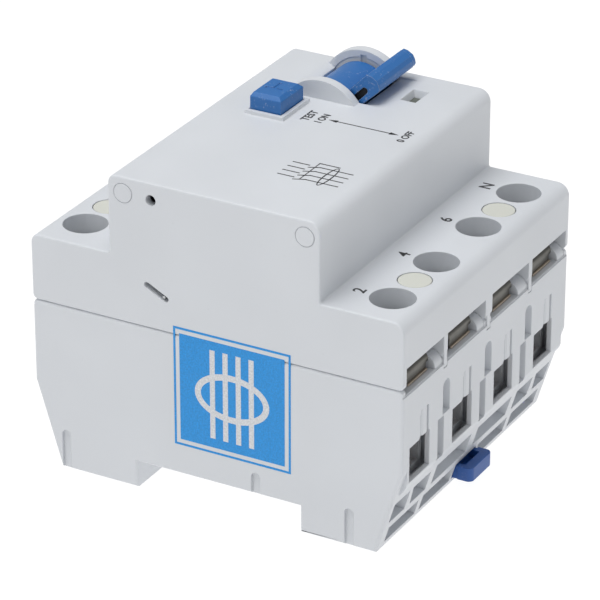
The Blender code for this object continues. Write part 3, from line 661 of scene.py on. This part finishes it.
def make_base():
    top = CASE_SEAM
    outline = [(-FOOT_Y, 0.0), (RAIL_Y[0], 0.0), (RAIL_Y[0], RAIL_Z), (RAIL_Y[1], RAIL_Z), (RAIL_Y[1], 0.0)]
    outline += [(FOOT_Y, 0.0), (END_Y, SLOPE_Z)]
    outline += arc((END_Y - SEAM_RADIUS, top - SEAM_RADIUS), SEAM_RADIUS, 0, 90, 5)
    outline += arc((SEAM_RADIUS - END_Y, top - SEAM_RADIUS), SEAM_RADIUS, 90, 180, 5)
    outline += [(-END_Y, SLOPE_Z)]
    base = rounded_profile("case_base", outline)
    above = top + 1.0

    def window_plates(bm):
        """The end face keeps upright further down between the side walls."""
        face = END_Y - 0.004
        for side in (1, -1):
            points = [(38.0, 18.6), (face, 18.6), (face, 15.0), (39.75, 14.2), (39.2, 13.4), (38.3, 12.4)]
            prism(bm, "X", [(side * y, z) for y, z in points], INSIDE_X)

    carve(base, window_plates, operation="UNION")

    def well(bm):
        box(bm, [INSIDE_X, around(0.0, WELL_Y), (8.0, above)])

    def bays(bm):
        for side, pole in both_ends(POLES):
            box(bm, [around(pole, BAY_HALF), mirrored(side, (BAY_IN, 38.2)), (13.1, above)])

    def slots(bm):
        for side, pole in both_ends(POLES):
            box(bm, [around(pole, 3.6), mirrored(side, (25.0, 27.5)), (20.6, above)])

    def windows(bm):
        for side, pole in both_ends(POLES):
            low, high = shifted(pole, WINDOW_X)
            bottom, head = WINDOW_Z
            outline = [(low, bottom), (high, bottom), (high, head), (low + 4.15, head)]
            outline += [(low + 3.75, head - 0.4), (low, head - 0.4)]
            prism(bm, "Y", outline, mirrored(side, (END_Y - WINDOW_WALL - 0.2, END_Y + PAST)))

    def wire_ways(bm):
        for side, pole in both_ends(POLES):
            depth = mirrored(side, (37.7, END_Y - WINDOW_WALL))
            box(bm, [around(pole, 6.2), depth, (WINDOW_Z[0] - 0.7, WINDOW_Z[1] + 0.6)])

    def slits(bm):
        for side, pole in both_ends(POLES):
            depth = mirrored(side, (END_Y - 1.1, END_Y + PAST))
            box(bm, [shifted(pole, SLIT_X), depth, SLIT_Z])

    def tab_rooms(bm):
        for side, pole in both_ends(POLES):
            depth = mirrored(side, (END_Y - 0.75, END_Y + PAST))
            box(bm, [shifted(pole, TAB_ROOM_X), depth, TAB_ROOM_Z])

    def grooves(bm):
        for side, middle in both_ends(BETWEEN):
            outline = [(middle - 1.3, 23.2), (middle + 1.6, 23.2)]
            outline += arc((middle + 0.15, 28.7), 1.45, 0, 180, 12)
            prism(bm, "Y", outline, mirrored(side, (END_Y - 1.4, END_Y + PAST)))

    def lower_grooves(bm):
        for side, middle in both_ends(BETWEEN):
            depth = mirrored(side, (END_Y - 1.5, END_Y + PAST))
            box(bm, [shifted(middle, LOWER_GROOVE_X), depth, LOWER_GROOVE_Z])

    def ledge(bm):
        for side in (1, -1):
            box(bm, [around(0.0, 36.0), mirrored(side, (END_Y - LEDGE_STEP, END_Y + PAST)), (LEDGE_Z, above)])

    def lowered_wall(bm):
        for side, (low, high) in both_ends(OPENING_X.values()):
            box(bm, [(low + 0.05, high - 0.05), mirrored(side, (37.0, END_Y + PAST)), (34.05, above)])

    def tongue_notches(bm):
        for side, middle in both_ends(BETWEEN):
            depth = mirrored(side, (END_Y - 1.3, END_Y + PAST))
            box(bm, [around(tongue(middle), 0.72), depth, (32.85, above)])

    def upper_pockets(bm):
        for side, (low, high) in both_ends(UPPER_POCKETS):
            lean = 0.9 if low in LEANING else 0.0
            outline = [(low + lean, 6.1), (high, 6.1), (high, 10.4), (low, 10.4)]
            prism(bm, "Y", outline, mirrored(side, (34.0, END_Y + PAST)))

    def lower_pockets(bm):
        for side, span in both_ends(LOWER_POCKETS):
            box(bm, [span, mirrored(side, (31.0, END_Y + PAST)), (1.1, 4.4)])

    def channel(bm):
        box(bm, [around(0.0, 4.4), (-41.0, -17.0), (1.05, 4.45)])

    def hook(bm):
        box(bm, [(-20.0, 20.0), (17.0, 18.4), (4.3, RAIL_Z)])

    def side_marks(bm):
        for y, z in SIDE_MARKS:
            outline = [(y - SIDE_MARK_HALF, -1.0), (y + SIDE_MARK_HALF, -1.0)]
            outline += arc((y, z - SIDE_MARK_HALF), SIDE_MARK_HALF, 0, 180, 12)
            prism(bm, "X", outline, (-36.0, -34.3))

    def screw_bores(bm):
        for spot in plug_spots():
            rod(bm, "Z", spot, COVER_SCREW_R, (18.0, above), 24)

    carve(base, well, bays, slots, windows, wire_ways, slits, tab_rooms)
    carve(base, grooves, lower_grooves, ledge, lowered_wall, tongue_notches)
    carve(base, upper_pockets, lower_pockets, channel, hook, side_marks, screw_bores)

    def tabs(bm):
        """A tongue with a curved face beside each slit."""
        for side, pole in both_ends(POLES):
            outline = [(pole + across, side * (END_Y - 0.03 - depth)) for across, depth in TAB]
            prism(bm, "Z", outline, TAB_Z)

    def ledges(bm):
        """A rounded shelf beside each cage, which the cover's openings show."""
        for side, pole in both_ends(POLES):
            outer = END_Y - 0.35
            outline = [(SHELF_Y, 33.0), (outer, 33.0), (outer, 34.1)]
            outline += arc((outer - SHELF_ROUND, 34.2), SHELF_ROUND, 5, 90, 8) + [(SHELF_Y, 36.5)]
            shelf_x = (pole + 4.6, OPENING_X[pole][1] - 0.06)
            prism(bm, "X", [(side * y, z) for y, z in outline], shelf_x)

    def spring_stop(bm):
        box(bm, [(-1.3, 1.3), (-31.6, -30.4), (0.6, 5.0)])

    carve(base, tabs, ledges, spring_stop, operation="UNION")
    weld_corners(base, smooth=False)
    piece(base, "housing", "housing", ["base"])


# ---- handle, button, clip and cages --------------------------------------------------------------
PADDLE_ANGLE = 134.0
TIP = [(13.9, -1.35), (14.45, -0.5), (14.75, 0.8), (14.45, 1.75), (14.0, 2.45), (13.5, 2.7)]
PADDLE = [(0.0, -1.35), *TIP, (0.0, 1.95)]
FLARE_TIP = [(13.85, -1.3), (14.4, -0.5), (14.7, 0.8), (14.4, 1.7), (13.95, 2.4), (13.45, 2.6)]
FLARE = [(10.75, -1.3), *FLARE_TIP, (10.75, 2.4)]
DRUM_R = 6.7
AXLE_BORE_R = 1.55
LINK_ROOM = [(-3.55, -8.0), (8.0, -8.0), (8.0, 4.25), (-2.4, -0.65), (-3.55, -1.15)]
LINK_HOOK, LINK_HOOK_R = (-2.16, -2.08), 0.85
DRUM_END = 31.5                  # the drum ends at the cheek; the paddle's end past it is wider


def make_handle():
    turn = radians(PADDLE_ANGLE)
    along, across = Vector((cos(turn), sin(turn))), Vector((-sin(turn), cos(turn)))

    def in_case(points):
        return [Vector((HANDLE_Y, HANDLE_Z)) + along * u + across * v for u, v in points]

    bm = bmesh.new()
    rod(bm, "X", (HANDLE_Y, HANDLE_Z), DRUM_R, (DRUM_X[0], DRUM_END), 128)
    handle = new_object("toggle", bm)

    def paddle(bm):
        prism(bm, "X", in_case(PADDLE), (DRUM_X[0], DRUM_END))

    def flare(bm):
        prism(bm, "X", in_case(FLARE), (DRUM_X[1] - 1.6, DRUM_X[1]))

    def sealing_slot(bm):
        slot = [(7.6, 0.0)] + arc((11.15, 0.7), 0.68, -90, 90, 10) + [(7.6, 1.38)]
        prism(bm, "X", in_case(slot), (DRUM_X[0] - 1.0, DRUM_X[0] + 4.0))

    def bore(bm):
        rod(bm, "X", (HANDLE_Y, HANDLE_Z), AXLE_BORE_R, (15.0, 33.0), 32)

    def relief(bm):
        """Room for the link, which swings under the drum's near end."""
        prism(bm, "X", [(HANDLE_Y + y, HANDLE_Z + z) for y, z in LINK_ROOM], (15.0, 19.25))

    def crank_hole(bm):
        rod(bm, "X", (HANDLE_Y + LINK_HOOK[0], HANDLE_Z + LINK_HOOK[1]), LINK_HOOK_R, (15.0, 22.3), 24)

    carve(handle, paddle, flare, operation="UNION")
    carve(handle, sealing_slot, bore, relief, crank_hole)
    weld_corners(handle, smooth=False)
    piece(handle, "handle", "blue", ["handle"])

    # a near-black block that fills the sealing slot: painted shade for its depth
    bm = bmesh.new()
    slot = [(7.7, 0.1)] + arc((11.1, 0.7), 0.6, -90, 90, 10) + [(7.7, 1.3)]
    prism(bm, "X", in_case(slot), (DRUM_X[0] + 0.5, DRUM_X[0] + 3.9))
    slot_shade = new_object("seal_slot_lining", bm)
    soften(slot_shade, 0.05, 1)
    piece(slot_shade, "handle", "hollow")


def make_button():
    (x0, x1), (y0, y1) = BUTTON_X, BUTTON_Y
    bm = bmesh.new()
    shoulder = BUTTON_TOP - 0.75
    box(bm, [(x0, x1), (y0, y1), (NOSE_Z - 1.3, shoulder)])
    button = new_object("push_button", bm)

    def crown(bm):
        inset = 0.8
        head = [(x0 + inset, x1 - inset), (y0 + inset, y1 - 0.45)]
        frustum(bm, ((x0, x1), (y0, y1)), head, (shoulder, BUTTON_TOP))

    def neck(bm):
        box(bm, [(x0 + 0.5, x1 - 0.5), (y0 + 0.5, y1 - 0.5), (61.6, NOSE_Z - 1.0)])

    def stem(bm):
        rod(bm, "Z", ((x0 + x1) / 2, (y0 + y1) / 2), 1.0, (55.5, 62.0), 24)

    carve(button, crown, neck, stem, operation="UNION")

    engraved = (BUTTON_TOP - 0.25, BUTTON_TOP + PAST)

    def letter_bar(bm):
        box(bm, [(6.3, 7.05), (8.4, 12.1), engraved])

    def letter_stem(bm):
        box(bm, [(6.8, 9.6), (9.9, 10.65), engraved])

    carve(button, letter_bar, letter_stem)
    soften(button, 0.16)
    piece(button, "test_button", "button", ["test_button"])


def make_clip():
    (x0, x1), (y0, y1), (z0, z1) = CLIP_X, CLIP_Y, CLIP_Z
    left, right, end, neck, corner_r = x0 - 0.2, x1 + 0.5, y0 - 0.25, -36.15, 1.2
    outline = [(x0, y1), (x0, neck), (left, neck)]
    outline += arc((left + corner_r, end + corner_r), corner_r, 180, 270)
    outline += arc((right - corner_r, end + corner_r), corner_r, 270, 360)
    outline += [(right, neck), (x1, neck), (x1, y1)]
    bm = bmesh.new()
    prism(bm, "Z", outline, (z0, z1))
    clip = new_object("rail_latch", bm)

    def tool_slot(bm):
        box(bm, [(-3.0, 3.0), (-37.2, -34.9), (z0 + 1.1, z1 + 1.0)])

    def spring_slot(bm):
        box(bm, [(-1.7, 1.7), (-32.0, -23.0), (z0 - 1.0, z1 + 1.0)])

    def nose(bm):
        prism(bm, "X", [(y1 - 1.8, 5.0), (y1 + 1.2, 5.0), (y1 + 1.2, 2.0)], (-6.0, 6.0))

    carve(clip, tool_slot, spring_slot, nose)
    soften(clip, 0.3)
    piece(clip, "rail_clip", "dark_blue", ["rail_clip"])


YOKE_Y = 38.35
YOKE_Z = (34.2, 37.6)
YOKE_ROUND = 1.5
STIRRUP_Y = (29.0, 37.1)
STIRRUP_WALL = 1.0


def make_cages():
    for side, labels in SIDES:
        for pole, label in zip(POLES, labels):
            make_cage(pole, side, label)


def make_cage(pole, side, label):
    """A zinc stirrup that carries a threaded yoke, whose lower cut edge shows bare brass; the yoke's nickel
    is painted near black, painted shade for the dark reflections it shows.
    """
    node = f"clamp_cage_{label}"
    (left, right), low = node_span(node, "X"), node_span(node, "Z")[0]
    inner, outer = STIRRUP_Y
    between_legs = (left + STIRRUP_WALL, right - STIRRUP_WALL)
    body = f"cage_{label}"
    bm = bmesh.new()
    outline = arc((left + 1.0, low + 1.0), 1.0, 180, 270, 6)
    outline += arc((right - 1.0, low + 1.0), 1.0, 270, 360, 6)
    outline += [(right, YOKE_Z[0] + 1.0), (left, YOKE_Z[0] + 1.0)]
    prism(bm, "Y", outline, mirrored(side, STIRRUP_Y))
    stirrup = new_object(f"stirrup_{label}", bm)

    def mouth(bm):
        box(bm, [between_legs, mirrored(side, (inner - PAST, outer + PAST)), (15.0, 40.0)])

    def serrations(bm):
        for index in range(5):
            y = side * (inner + 1.3 + index * 1.4)
            prism(bm, "X", [(y - 0.3, 15.2), (y + 0.3, 15.2), (y, 14.7)], (left + 1.2, right - 1.2))

    carve(stirrup, mouth, serrations)
    soften(stirrup, 0.15, 2)
    piece(stirrup, body, "zinc", [node])

    bm = bmesh.new()
    bottom, top = YOKE_Z
    points = [(28.7, bottom), (YOKE_Y, bottom), (YOKE_Y, top - YOKE_ROUND)]
    points += arc((YOKE_Y - YOKE_ROUND, top - YOKE_ROUND), YOKE_ROUND, 0, 90, 8) + [(28.7, top)]
    prism(bm, "X", [(side * y, z) for y, z in points], (left + 0.02, right - 0.02))
    yoke = new_object(f"yoke_{label}", bm)

    def thread(bm):
        rod(bm, "Z", (pole, side * SCREW_Y), 2.8, (33.0, 38.5), 32)

    def end_notch(bm):
        depth = mirrored(side, (YOKE_Y - 0.8, YOKE_Y + PAST))
        box(bm, [(right - 0.9, right + PAST), depth, (34.0, 35.6)])

    carve(yoke, thread, end_notch)
    soften(yoke, 0.18, 3)
    # the yoke's near-black nickel is painted shade
    piece(yoke, body, "nickel")

    bm = bmesh.new()
    back, front, under, over = YOKE_Y - 0.5, YOKE_Y + 0.35, bottom - 0.05, bottom + 0.42
    points = [(back, under), (front, under), (front, over), (back, over)]
    prism(bm, "X", [(side * y, z) for y, z in points], (left + 0.1, right - 1.0))
    lip = new_object(f"yoke_edge_{label}", bm)
    soften(lip, 0.12, 2)
    piece(lip, body, "lip")


# ---- prints --------------------------------------------------------------------------------------
INK = 0.02                       # half of the ink's thickness
BOLD = 0.05
CAPITAL = 0.72                   # a capital's height as a share of the letters' size
MARKS_X = 6.7                    # the words and the arrow by the handle
LINE, FINE_LINE = 0.26, 0.2      # the widths of the sketch's lines


def write(name, words, centre, height, z=SHOULDER_Z, stretch=1.0):
    """Words that read along +X, tops towards +Y, centred at a point of a face that looks along +Z."""
    curve = bpy.data.curves.new(name, "FONT")
    curve.body = words
    curve.size = height / CAPITAL * MM
    curve.align_x = "CENTER"
    curve.align_y = "CENTER"
    curve.extrude = INK * MM
    curve.offset = BOLD * MM
    curve.resolution_u = 4
    holder = bpy.data.objects.new(name, curve)
    bpy.context.scene.collection.objects.link(holder)
    depsgraph = bpy.context.evaluated_depsgraph_get()
    mesh = bpy.data.meshes.new_from_object(holder.evaluated_get(depsgraph))
    bpy.data.objects.remove(holder)
    low = min(vertex.co.x for vertex in mesh.vertices) + max(vertex.co.x for vertex in mesh.vertices)
    rise = min(vertex.co.y for vertex in mesh.vertices) + max(vertex.co.y for vertex in mesh.vertices)
    mesh.transform(Matrix.Translation((-low / 2, -rise / 2, 0.0)))
    mesh.transform(Matrix.Diagonal((stretch, 1.0, 1.0, 1.0)))
    mesh.transform(Matrix.Translation(Vector((centre[0], centre[1], z + INK * 0.8)) * MM))
    thing = bpy.data.objects.new(name, mesh)
    bpy.context.scene.collection.objects.link(thing)
    piece(thing, "housing", "ink")


def ink_span(axis, level):
    """The ink's thickness on a face, which looks along +Z or along -X."""
    return around(level + (0.8 * INK if axis == "Z" else -0.8 * INK), INK)


def draw(name, fill, material):
    bm = bmesh.new()
    fill(bm)
    thing = new_object(name, bm)
    piece(thing, "housing", material)


def stroke(bm, axis, start, end, width, level):
    """A straight printed line between two points of a face that looks along an axis."""
    start, end = Vector(start), Vector(end)
    along = (end - start).normalized() * (width / 2)
    across = Vector((-along.y, along.x))
    outline = [start - along - across, end + along - across, end + along + across, start - along + across]
    prism(bm, axis, outline, ink_span(axis, level))


def ring(bm, axis, centre, across, up, width, level, steps=48):
    """A printed oval line."""
    for step in range(steps):
        here, there = 360.0 * step / steps, 360.0 * (step + 1) / steps
        outline = []
        for angle, extra in ((here, width / 2), (there, width / 2), (there, -width / 2), (here, -width / 2)):
            outline.append((centre[0] + (across + extra) * cos(radians(angle)),
                            centre[1] + (up + extra) * sin(radians(angle))))
        prism(bm, axis, outline, ink_span(axis, level))


def make_marks():
    for side, names, y in ((-1, "246N", -26.2), (1, "135N", 26.2)):
        for pole, letter in zip(POLES, names):
            write(f"mark_{letter}_{'load' if side < 0 else 'line'}", letter, (pole - 0.1, y), 2.5)
    for name, words, y, height in (
        ("mark_test", "TEST", 2.5, 1.7), ("mark_on", "I ON", -0.35, 1.55), ("mark_off", "0 OFF", -18.3, 1.55),
    ):
        write(name, words, (MARKS_X, y), height, z=NOSE_Z, stretch=0.95)

    def arrow(bm):
        start, end, head_half, head_long = -1.7, -16.8, 0.52, 1.9
        stroke(bm, "Z", (MARKS_X, start - 1.2), (MARKS_X, end + 1.2), 0.27, NOSE_Z)
        for tip, way in ((start, -1), (end, 1)):
            root = tip + way * head_long
            outline = [(MARKS_X, tip), (MARKS_X - head_half, root), (MARKS_X + head_half, root)]
            prism(bm, "Z", outline, ink_span("Z", NOSE_Z))

    draw("mark_arrow", arrow, "ink")


def make_wiring_sketch():
    """A plain sketch of four conductors through a ring, with their contacts, on the front face."""
    xs = [-19.5 + 2.0 * index for index in range(4)]

    def lines(bm):
        for x in xs:
            stroke(bm, "Z", (x, -17.8), (x, -11.0), LINE, NOSE_Z)
            stroke(bm, "Z", (x, -11.0), (x - 0.9, -8.9), LINE, NOSE_Z)
            stroke(bm, "Z", (x, -8.6), (x, -5.2), LINE, NOSE_Z)
        far = xs[3] + 1.6
        stroke(bm, "Z", (xs[0] - 0.45, -10.0), (far, -10.0), FINE_LINE, NOSE_Z)
        stroke(bm, "Z", (far, -10.0), (far, -14.2), LINE, NOSE_Z)

    def loop(bm):
        ring(bm, "Z", ((xs[0] + xs[3]) / 2, -14.2), 4.1, 0.8, LINE, NOSE_Z)

    draw("sketch_lines", lines, "ink")
    draw("sketch_loop", loop, "ink")


PANEL_Y = (-16.5, 8.75)
PANEL_Z = (12.0, 37.1)
PANEL_LINE, PANEL_INSET = 0.45, 1.3
BAR_OFFSETS = (-4.2, -1.4, 1.4, 4.2)
BAR_Z = (15.8, 33.4)


def panel_outline(inset):
    left, right = PANEL_Y[0] + inset, PANEL_Y[1] - inset
    bottom, top = PANEL_Z[0] + inset, PANEL_Z[1] - inset
    return [(left, bottom), (right, bottom), (right, top), (left, top)]


def make_side_panel():
    """A blue field in a blue frame on the side face, with a plain white sign of a ring round four bars."""
    level = -HALF_WIDTH
    middle, height = sum(PANEL_Y) / 2, sum(PANEL_Z) / 2

    def frame_line(bm):
        outer, inner = panel_outline(0.0), panel_outline(PANEL_LINE)
        for step in range(4):
            after = (step + 1) % 4
            prism(bm, "X", [outer[step], outer[after], inner[after], inner[step]], ink_span("X", level))

    def field(bm):
        prism(bm, "X", panel_outline(PANEL_INSET), ink_span("X", level))

    def sign_ring(bm):
        ring(bm, "X", (middle, height), 7.4, 4.4, 1.3, level - 0.6 * INK, 64)

    def conductors(bm):
        for offset in BAR_OFFSETS:
            start, end = ((middle + offset, z) for z in BAR_Z)
            stroke(bm, "X", start, end, 1.1, level - 1.2 * INK)

    draw("panel_frame", frame_line, "print_blue")
    draw("panel_field", field, "print_blue")
    draw("panel_ring", sign_ring, "print_white")
    draw("panel_conductors", conductors, "print_white")


# ---- CAD nodes that stay -------------------------------------------------------------------------
def dress_nodes():
    slots = {entry["node"]: entry["material_slot"] for entry in frame["record"]["subparts"]}
    special = {"contact_indicator": "flag", "sensing_winding": "winding"}
    for name, thing in NODES.items():
        if thing.hide_render:
            continue
        paint(thing, special.get(name, slots[name]))
        soften(thing, 0.12, 2)


# ---- stage ---------------------------------------------------------------------------------------
def make_stage():
    bm = bmesh.new()
    bmesh.ops.create_grid(bm, x_segments=8, y_segments=8, size=1.5)
    floor = new_object("floor", bm)
    floor.location.z = -0.0002
    surface = Surface("floor_paper")
    surface.colour(surface.ramp(surface.noise(300.0), [(0.3, 0.10), (0.7, 0.11)]))
    glow = surface.ramp(surface.noise(300.0), [(0.3, 0.955), (0.7, 0.965)])
    surface.link(glow, surface.shader.inputs["Emission Color"])
    surface.set("Emission Strength", 1.0)
    surface.set("Roughness", 0.9)
    surface.set("Specular IOR Level", 0.1)
    floor.data.materials.append(surface.material)


def area_light(name, place, target, size, power):
    light = bpy.data.lights.new(name, "AREA")
    light.shape = "DISK"
    light.size = size
    light.energy = power
    thing = bpy.data.objects.new(name, light)
    thing.location = place
    thing.rotation_euler = (Vector(target) - Vector(place)).to_track_quat("-Z", "Y").to_euler()
    bpy.context.scene.collection.objects.link(thing)


def make_lights():
    middle = (0.0, 0.0, 0.03)
    area_light("overhead", (-0.15, 0.1, 0.9), middle, 0.7, 5.6)
    area_light("left_window", (-0.9, 0.35, 0.35), middle, 0.6, 0.9)
    area_light("front_fill", (-0.15, -0.95, 0.3), middle, 0.7, 0.6)
    world = bpy.data.worlds.new("studio")
    world.use_nodes = True
    sky = world.node_tree.nodes["Background"]
    sky.inputs["Color"].default_value = (0.96, 0.98, 1.0, 1.0)
    sky.inputs["Strength"].default_value = 0.38
    bpy.context.scene.world = world
    bpy.context.scene.view_settings.view_transform = "Standard"


CAMERA_AZIMUTH, CAMERA_ELEVATION = -61.02, 26.45
CAMERA_DISTANCE = 734.56
CAMERA_AIM_Z = 29.17
CAMERA_SHIFT = (-0.774, 0.162)
CAMERA_LENS = 226.36


def make_camera():
    a, e = radians(CAMERA_AZIMUTH), radians(CAMERA_ELEVATION)
    back = Vector((sin(a) * cos(e), -cos(a) * cos(e), sin(e)))
    right = Vector((cos(a), sin(a), 0.0))
    up = back.cross(right)
    camera = bpy.data.objects.new("camera", bpy.data.cameras.new("camera"))
    camera.data.lens = CAMERA_LENS
    camera.data.sensor_width = 36.0
    camera.data.clip_start = 0.05
    camera.data.clip_end = 20.0
    offset = back * CAMERA_DISTANCE + right * CAMERA_SHIFT[0] + up * CAMERA_SHIFT[1]
    camera.location = (offset + Vector((0.0, 0.0, CAMERA_AIM_Z))) * MM
    camera.rotation_mode = "QUATERNION"
    camera.rotation_quaternion = (-back).to_track_quat("-Z", "Y")
    bpy.context.scene.collection.objects.link(camera)
    bpy.context.scene.camera = camera


for thing in [item for item in bpy.data.objects if item.name in ("Cube", "Light", "Camera")]:
    bpy.data.objects.remove(thing)
make_camera()
make_cover()
make_base()
make_handle()
make_button()
make_clip()
make_cages()
make_marks()
make_wiring_sketch()
make_side_panel()
dress_nodes()
make_stage()
make_lights()

bpy.context.view_layer.update()
